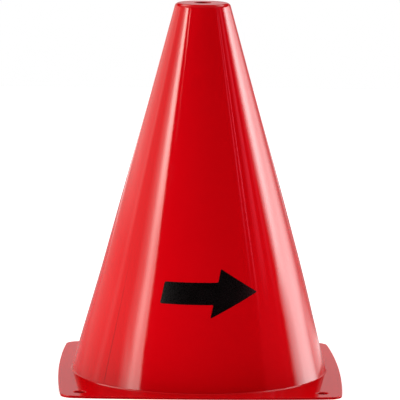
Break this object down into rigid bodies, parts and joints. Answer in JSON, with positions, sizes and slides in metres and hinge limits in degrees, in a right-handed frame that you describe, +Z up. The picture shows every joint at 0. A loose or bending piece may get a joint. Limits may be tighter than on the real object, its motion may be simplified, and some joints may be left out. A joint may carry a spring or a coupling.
{
  "type": "sports marker cone",
  "caption": "Hollow marker cone with a flat top on a thin square base plate with bowed sides, rounded corners and corner holes; a printed arrow marks its front.",
  "frame": {"origin": "centre of the underside, on the plane that the base plate rests on", "axes": "+Z up along the cone's axis; -Y is the printed front; +X is to the right, seen from the front"},
  "size_m": [0.175, 0.175, 0.23],
  "materials": {
    "red_plastic": "smooth and glossy, moulded in one colour",
    "black_ink": "satin printed ink"
  },
  "bodies": {
    "root": {"cone_shell": "red_plastic", "printed_arrow": "black_ink"}
  },
  "joints": []
}
